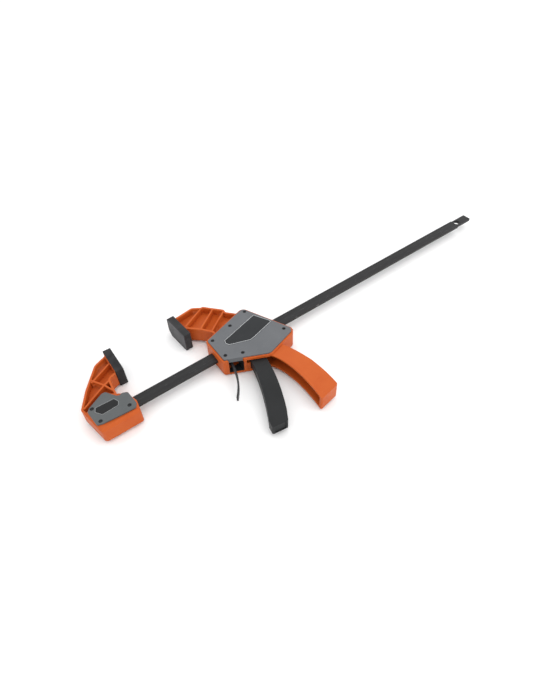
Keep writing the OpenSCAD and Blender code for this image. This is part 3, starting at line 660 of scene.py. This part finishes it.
softened("bar", "flat_bar", BAR_BLACK, 0.7 * MM)
softened("fixed_jaw", "jaw_moulding", ORANGE, 0.7 * MM)
# The jaw's plates take the darker copy of the cover's grey: painted shade.
softened("jaw_front_plate", "jaw_plate_upper", JAW_GREY_PAINTED_SHADE, 0.4 * MM)
softened("jaw_back_plate", "jaw_plate_lower", JAW_GREY_PAINTED_SHADE, 0.4 * MM)
softened("fixed_pad", "fixed_jaw_pad", FIXED_PAD_RUBBER, 1.8 * MM, segments=4)
softened("sliding_pad", "sliding_jaw_pad", SLIDING_PAD_RUBBER, 1.8 * MM,
         segments=4)
softened("housing", "carriage_moulding", ORANGE, 2.5 * MM, housing_width,
         segments=3, growth=0.06)
softened("front_cover", "cover_upper", COVER_GREY, 0.5 * MM)
softened("back_cover", "cover_lower", COVER_GREY, 0.5 * MM)
softened("trigger", "squeeze_trigger", TRIGGER_BLACK, 1.0 * MM,
         carve=hollow_end)
softened("brake_lever", "release_lever", LEVER_BLACK, 0.5 * MM, lever_width)
# The jaw's badges take the darker copy of the badge charcoal: painted shade.
softened("jaw_front_badge", "jaw_badge_upper", JAW_BADGE_DARK_PAINTED_SHADE, 0.12 * MM)
softened("jaw_back_badge", "jaw_badge_lower", JAW_BADGE_DARK_PAINTED_SHADE, 0.12 * MM)
softened("front_badge", "cover_badge_upper", BADGE_DARK, 0.12 * MM)
softened("back_badge", "cover_badge_lower", BADGE_DARK, 0.12 * MM)

for shown, steel in (("jaw_pin", PIN_STEEL), ("trigger_pin", PIN_STEEL),
                     ("drive_plate_front", PLATE_STEEL), ("drive_plate_rear", PLATE_STEEL)):
    dress(frame["nodes"][shown], steel)


# ---- Screws, springs, raised lines, and a liner of painted shade in the lever's window ---

DEAD_PITCH = 1.05         # pitch of a spring's end turns, in thicknesses of its wire
COIL_STEPS = 30           # steps in one turn of a spring
LEAST_RADIUS = 0.3        # sharpest corner of a raised line, millimetres


def finish_tree(tree, geometry, result, material):
    """Ends a tree with plain geometry in its finish."""
    plain = add(tree, "GeometryNodeRealizeInstances", {"Geometry": geometry}).outputs[0]
    made = add(tree, "GeometryNodeSetMaterial", {"Geometry": plain, "Material": material})
    tree.links.new(made.outputs[0], result["Geometry"])
    return tree


def screws_tree():
    """A screw on every point, turned over where the point is on the lower side."""
    tree, given, result = new_group("screws_on_points", "GeometryNodeTree", [
        ("Geometry", "INPUT", "Geometry", None),
        ("Screw", "INPUT", "Object", None),
        ("Spin Seed", "INPUT", "Int", 3),
        ("Finish", "INPUT", "Material", None),
        ("Geometry", "OUTPUT", "Geometry", None),
    ])
    lower = add(tree, "GeometryNodeInputNamedAttribute", {"Name": "lower"}, data_type="FLOAT")
    spin = add(tree, "FunctionNodeRandomValue", {"Min": 0.0, "Max": 2 * math.pi,
               "Seed": given["Spin Seed"]}, data_type="FLOAT")
    angles = add(tree, "ShaderNodeCombineXYZ",
                 {"X": math_node(tree, "MULTIPLY", lower.outputs["Attribute"], math.pi),
                  "Z": spin.outputs["Value"]})
    turn = add(tree, "FunctionNodeEulerToRotation", {"Euler": angles.outputs[0]})
    pattern = add(tree, "GeometryNodeObjectInfo", {"Object": given["Screw"]})
    placed = add(tree, "GeometryNodeInstanceOnPoints",
                 {"Points": given["Geometry"], "Instance": pattern.outputs["Geometry"],
                  "Rotation": turn.outputs[0]})
    return finish_tree(tree, placed.outputs[0], result, given["Finish"])


def coil_tree():
    """Compression spring along X: one dead turn at each end and an even pitch between."""
    tree, given, result = new_group("coiled_wire", "GeometryNodeTree", [
        ("Geometry", "INPUT", "Geometry", None),
        ("Start", "INPUT", "Vector", None),
        ("Length", "INPUT", "Float", 0.03),
        ("Radius", "INPUT", "Float", 0.01),
        ("Wire", "INPUT", "Float", 0.001),
        ("Turns", "INPUT", "Float", 8.0),
        ("Steps", "INPUT", "Int", 240),
        ("Sides", "INPUT", "Int", 12),
        ("Finish", "INPUT", "Material", None),
        ("Geometry", "OUTPUT", "Geometry", None),
    ])

    def step(operation, *values, clamp=False):
        return math_node(tree, operation, *values, clamp=clamp)

    line = add(tree, "GeometryNodeCurvePrimitiveLine", {"End": (1.0, 0.0, 0.0)})
    many = add(tree, "GeometryNodeResampleCurve",
               {"Curve": line.outputs[0], "Count": given["Steps"]})
    share = add(tree, "GeometryNodeSplineParameter").outputs["Factor"]
    turn = step("MULTIPLY", share, given["Turns"])
    dead = step("MULTIPLY", given["Wire"], DEAD_PITCH)
    ends = step("MULTIPLY", given["Wire"], 2 * DEAD_PITCH + 1)
    spread = step("SUBTRACT", given["Length"], ends)
    first = step("MULTIPLY", dead, step("MINIMUM", turn, 1.0))
    along = step("DIVIDE", step("SUBTRACT", turn, 1.0), step("SUBTRACT", given["Turns"], 2.0),
                 clamp=True)
    last = step("MAXIMUM", step("SUBTRACT", turn, step("SUBTRACT", given["Turns"], 1.0)), 0.0)
    travel = step("ADD", first, step("MULTIPLY", spread, along))
    travel = step("ADD", travel, step("MULTIPLY", dead, last))
    travel = step("ADD", travel, step("MULTIPLY", given["Wire"], 0.5))
    angle = step("MULTIPLY", turn, 2 * math.pi)
    place = add(tree, "ShaderNodeCombineXYZ",
                {"X": travel, "Y": step("MULTIPLY", given["Radius"], step("COSINE", angle)),
                 "Z": step("MULTIPLY", given["Radius"], step("SINE", angle))})
    moved = add(tree, "ShaderNodeVectorMath", {0: place.outputs[0], 1: given["Start"]},
                operation="ADD")
    helix = add(tree, "GeometryNodeSetPosition",
                {"Geometry": many.outputs[0], "Position": moved.outputs["Vector"]})
    section = add(tree, "GeometryNodeCurvePrimitiveCircle",
                  {"Resolution": given["Sides"], "Radius": step("MULTIPLY", given["Wire"], 0.5)})
    wire = add(tree, "GeometryNodeCurveToMesh",
               {"Curve": helix.outputs[0], "Profile Curve": section.outputs[0], "Fill Caps": True})
    smooth = add(tree, "GeometryNodeSetShadeSmooth", {"Geometry": wire.outputs[0]})
    return finish_tree(tree, smooth.outputs[0], result, given["Finish"])


def border_tree():
    """A flat raised line along a closed outline, its corners rounded."""
    tree, given, result = new_group("raised_border", "GeometryNodeTree", [
        ("Geometry", "INPUT", "Geometry", None),
        ("Width", "INPUT", "Float", 0.0008),
        ("Rise", "INPUT", "Float", 0.0001),
        ("Corner Steps", "INPUT", "Int", 8),
        ("Finish", "INPUT", "Material", None),
        ("Geometry", "OUTPUT", "Geometry", None),
    ])
    outline = add(tree, "GeometryNodeMeshToCurve", {"Mesh": given["Geometry"]})
    radius = add(tree, "GeometryNodeInputNamedAttribute", {"Name": "corner"}, data_type="FLOAT")
    rounded = add(tree, "GeometryNodeFilletCurve",
                  {"Curve": outline.outputs[0], "Radius": radius.outputs["Attribute"],
                   "Limit Radius": True, "Count": given["Corner Steps"]}, mode="POLY")
    level = add(tree, "GeometryNodeSetCurveNormal", {"Curve": rounded.outputs[0]}, mode="Z_UP")
    section = add(tree, "GeometryNodeCurvePrimitiveQuadrilateral",
                  {"Width": given["Width"], "Height": given["Rise"]})
    strip = add(tree, "GeometryNodeCurveToMesh",
                {"Curve": level.outputs[0], "Profile Curve": section.outputs[0]})
    return finish_tree(tree, strip.outputs[0], result, given["Finish"])


SCREWS_TREE, COIL_TREE, BORDER_TREE = screws_tree(), coil_tree(), border_tree()


def outward(obj):
    """Merges a closed mesh's doubles and turns its faces outwards."""
    work = bmesh.new()
    work.from_mesh(obj.data)
    bmesh.ops.remove_doubles(work, verts=work.verts, dist=1e-7)
    bmesh.ops.recalc_face_normals(work, faces=work.faces)
    work.to_mesh(obj.data)
    work.free()
    return obj


def grown(name, tree, values, points=((0, 0, 0),), edges=(), column=None, numbers=()):
    """Plain mesh that a node tree grows from a few points and the given values."""
    seeds = bpy.data.meshes.new(name)
    seeds.from_pydata(points, edges, [])
    if column:
        seeds.attributes.new(column, "FLOAT", "POINT").data.foreach_set("value", numbers)
    obj = bpy.data.objects.new(name, seeds)
    grow = obj.modifiers.new("grow", "NODES")
    grow.node_group = tree
    for item in tree.interface.items_tree:
        if item.in_out == "INPUT" and item.name in values:
            grow[item.identifier] = values[item.name]
    outward(settle(link(obj)))
    dress(obj, values["Finish"])
    return obj


def built(name, work):
    """An object of the work mesh, its faces outwards."""
    mesh = bpy.data.meshes.new(name)
    work.to_mesh(mesh)
    work.free()
    return outward(link(bpy.data.objects.new(name, mesh)))


def turned(name, profile, sides):
    """Solid of revolution about Z from a profile of radius and height, in millimetres."""
    work = bmesh.new()
    rings = []
    for radius, height in profile:
        if radius == 0:
            rings.append([work.verts.new(Vector((0, 0, height)) * MM)])
            continue
        ring = []
        for angle in (2 * math.pi * i / sides for i in range(sides)):
            spot = Vector((radius * math.cos(angle), radius * math.sin(angle), height))
            ring.append(work.verts.new(spot * MM))
        rings.append(ring)
    for low, high in zip(rings, rings[1:]):
        for i in range(sides):
            j = (i + 1) % sides
            corners = [low[i % len(low)], low[j % len(low)],
                       high[j % len(high)], high[i % len(high)]]
            work.faces.new(list(dict.fromkeys(corners)))
    return built(name, work)


def prism(name, one, two):
    """Closed solid between two outlines of as many points each, in metres."""
    work = bmesh.new()
    near = [work.verts.new(spot) for spot in one]
    far = [work.verts.new(spot) for spot in two]
    work.faces.new(near)
    work.faces.new(reversed(far))
    for i in range(len(near)):
        j = (i + 1) % len(near)
        work.faces.new([far[i], far[j], near[j], near[i]])
    return built(name, work)


def cross_cutter():
    """Tapered cross that cuts the driver's recess in a screw's head."""
    half, wide = 1.7, 0.45
    rim = [(half, -wide), (half, wide), (wide, wide), (wide, half), (-wide, half), (-wide, wide),
           (-half, wide), (-half, -wide), (-wide, -wide), (-wide, -half), (wide, -half),
           (wide, -wide)]
    top, low = ([Vector((x * share, y * share, height)) * MM for x, y in rim]
                for share, height in ((1.05, 0.3), (0.62, -1.0)))
    return prism("cross_cutter", top, low)


def pattern_screw():
    """Pan-head screw with a cross recess and a threaded shank, its head's top at zero."""
    root, crest, flank, lowest, sides = 1.2, 1.58, 0.32, -11.4, 28
    threads = []
    for i in range(9):
        z = lowest + i
        threads += [(root, z - flank), (crest, z), (root, z + flank)]
    tip = [(0, -12.6), (0.7, -12.2), (1.1, -11.9)]
    head = [(1.55, -2.6), (1.55, -1.6), (2.62, -1.6), (2.78, -1.5), (2.8, -1.3), (2.8, -0.62),
            (2.72, -0.36), (2.52, -0.16), (2.2, -0.05), (1.7, 0.0), (0, 0.0)]
    screw = turned("pattern_screw", tip + threads + head, sides)
    cutter = cross_cutter()
    cut = screw.modifiers.new("recess", "BOOLEAN")
    cut.operation = "DIFFERENCE"
    cut.solver = "EXACT"
    cut.object = cutter
    settle(screw)
    bpy.data.objects.remove(cutter)
    shade(screw, sharp_from=35)
    return screw


def place_screws(name, node, spots, move, pattern, seed):
    """Both sides' screws of one moulding, in one mesh."""
    points, lower = [], []
    for x, y in spots:
        for side in (1, -1):
            points.append(move(x, y, side * HEAD_TOP))
            lower.append(0.0 if side > 0 else 1.0)
    obj = grown(name, SCREWS_TREE, {"Screw": pattern, "Spin Seed": seed, "Finish": SCREW_BLACK},
                points, column="lower", numbers=lower)
    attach(obj, BODY_OF[node])
    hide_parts(node)


def wind_spring(name, node, radius, wire, turns):
    """Spring in a node's place, on the node's body."""
    low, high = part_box(node)
    middle = (low + high) / 2
    obj = grown(name, COIL_TREE, {
        "Start": (low.x, middle.y, middle.z), "Length": high.x - low.x, "Radius": radius * MM,
        "Wire": wire * MM, "Turns": float(turns), "Steps": turns * COIL_STEPS + 1,
        "Sides": 12, "Finish": SPRING_STEEL})
    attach(obj, BODY_OF[node])
    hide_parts(node)
    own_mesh(obj)


def drawn_in(outline, by):
    """An outline of x, y and corner radius moved inwards by a distance."""
    inner = []
    for i, (x, y, radius) in enumerate(outline):
        here = Vector((x, y))
        back = (here - Vector(outline[i - 1][:2])).normalized()
        ahead = (Vector(outline[(i + 1) % len(outline)][:2]) - here).normalized()
        half = (Vector((-back.y, back.x)) + Vector((-ahead.y, ahead.x))) / 2
        spot = here + half * (by / half.length_squared)
        inner.append((spot.x, spot.y, max(LEAST_RADIUS, radius - by)))
    return inner


def border(name, body, outline, inset, width, move, z, finish):
    """Raised line that follows a badge's edge."""
    path = drawn_in(outline, inset)
    count = len(path)
    obj = grown(name, BORDER_TREE,
                {"Width": width * MM, "Rise": BORDER_RISE * MM, "Finish": finish},
                [move(x, y, z) for x, y, _ in path], [(i, (i + 1) % count) for i in range(count)],
                column="corner", numbers=[radius * MM for _, _, radius in path])
    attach(obj, body)


def lever_guide():
    """Black sheet in the release lever's window, a floor and two cheeks behind its mouth: painted
    shade for the shadowed inside of the window.
    """
    left, right, floor, top, wall, bottom = 30.35, 53.1, -12.35, 9.2, 0.8, 0.85
    section = [(left, top), (left, floor), (right, floor), (right, top),
               (right - wall, top), (right - wall, floor + bottom),
               (left + wall, floor + bottom), (left + wall, top)]
    front, corner_at, slant, back = -31.5, 30.5, 0.495, -25.2
    mouth = [on_carriage(x, front - slant * (x - corner_at), z) for x, z in section]
    inside = [on_carriage(x, back, z) for x, z in section]
    obj = prism("lever_guide", mouth, inside)
    rounding = obj.modifiers.new("rounding", "BEVEL")
    rounding.width = 0.25 * MM
    rounding.segments = 2
    settle(obj)
    shade(obj)
    dress(obj, TRIGGER_BLACK)
    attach(obj, "carriage")


SCREW = pattern_screw()
place_screws("jaw_plate_screws", "jaw_screws", JAW_SCREWS, on_bar, SCREW, seed=5)
place_screws("carriage_cover_screws", "cover_screws", COVER_SCREWS, on_carriage, SCREW, seed=11)
bpy.data.objects.remove(SCREW)

wind_spring("drive_return_spring", "drive_spring", radius=11.84, wire=1.6, turns=8)
wind_spring("brake_plate_spring", "brake_spring", radius=4.05, wire=0.9, turns=6)

# The upper badges lie a little deeper, so that the lines on them stay inside the part's box.
for badge in ("jaw_badge_upper", "cover_badge_upper"):
    bpy.data.objects[badge].data.transform(Matrix.Translation((0, 0, -BADGE_DROP * MM)))
# The jaw's raised lines take the darker copy of the line's grey: painted shade.
for side, height in BORDER_HEIGHTS.items():
    border("jaw_border_" + side, "bar_body", JAW_BADGE, inset=0.5, width=0.7, move=on_bar,
           z=height, finish=JAW_BADGE_LINE_PAINTED_SHADE)
for side, height in BORDER_HEIGHTS.items():
    border("cover_border_" + side, "carriage", COVER_BADGE, inset=1.1, width=0.8,
           move=on_carriage, z=height, finish=BADGE_LINE)

# The black liner is painted shade: it darkens the inside of the lever's window, which lies in
# shadow.
lever_guide()


# ---- Floor, lights and camera ------------------------------------------------------------

FLOOR_HALF = 30.0                            # half the side of the floor
FLOOR_TONES = (0.93, 0.95)                   # darkest and palest white of the floor
AIR_STRENGTH = 1.12                          # light of the white air
LAMP_AIM = (0.3, -0.12, 0.0)
LAMPS = (("key_softbox", (0.45, -0.75, 1.6), 1.5, 5.5),     # name, place, width and power
         ("top_softbox", (0.6, 0.5, 2.2), 1.8, 6.0),
         ("front_fill", (0.9, -1.4, 0.7), 1.2, 2.2))
CAMERA_PLACE = (-0.1131, -0.5933, 0.6300)
CAMERA_ACROSS = (0.80297, -0.59488, -0.03676)    # to the right in the view
CAMERA_UPWARD = (0.46770, 0.59068, 0.65754)      # up in the view
CAMERA_BEHIND = (-0.36945, -0.54518, 0.75252)    # from the part back to the camera


def flat_square(name, half, z):
    """A level square that faces up, from half its side and its height."""
    mesh = bpy.data.meshes.new(name)
    mesh.from_pydata([(-half, -half, z), (half, -half, z), (half, half, z), (-half, half, z)], [],
                     [(0, 1, 2, 3)])
    return link(bpy.data.objects.new(name, mesh))


def area_light(name, place, aim, size, power):
    """A round soft lamp that looks at a point."""
    lamp = bpy.data.lights.new(name, "AREA")
    lamp.shape = "DISK"
    lamp.size = size
    lamp.energy = power
    obj = link(bpy.data.objects.new(name, lamp))
    obj.location = place
    obj.rotation_euler = (Vector(aim) - Vector(place)).to_track_quat("-Z", "Y").to_euler()


def set_stage():
    """White floor under the part, white air and three soft lamps."""
    floor = flat_square("studio_floor", FLOOR_HALF, cad_low.z)
    material, tree, shader, place = blank_material("floor_white_matt", 0.9,
                                                   **{"Specular IOR Level": 0.1})
    cloud = add(tree, "ShaderNodeTexNoise", {"Vector": place, "Scale": 0.8, "Detail": 2.0})
    dark, pale = ((tone, tone, tone, 1.0) for tone in FLOOR_TONES)
    tree.links.new(blend_colour(tree, cloud.outputs["Fac"], dark, pale),
                   shader.inputs["Base Color"])
    dress(floor, material)

    world = bpy.data.worlds.new("studio_air")
    world.use_nodes = True
    air = world.node_tree.nodes["Background"].inputs
    air["Color"].default_value = (1.0, 1.0, 1.0, 1.0)
    air["Strength"].default_value = AIR_STRENGTH
    bpy.context.scene.world = world
    for name, spot, width, power in LAMPS:
        area_light(name, spot, LAMP_AIM, width, power)


def set_camera():
    """Camera beyond the fixed jaw, looking down along the bar from the grip's side."""
    lens = bpy.data.cameras.new("studio_camera")
    lens.sensor_width = 36.0
    lens.lens = 26.25
    lens.shift_x = 0.00784
    lens.shift_y = 0.0117
    lens.clip_start = 0.02
    lens.clip_end = 100.0
    camera = link(bpy.data.objects.new("studio_camera", lens))
    turn = Matrix((CAMERA_ACROSS, CAMERA_UPWARD, CAMERA_BEHIND)).transposed().to_4x4()
    camera.matrix_world = Matrix.Translation(CAMERA_PLACE) @ turn
    bpy.context.scene.camera = camera
    bpy.context.scene.view_settings.view_transform = "Standard"


set_stage()
set_camera()
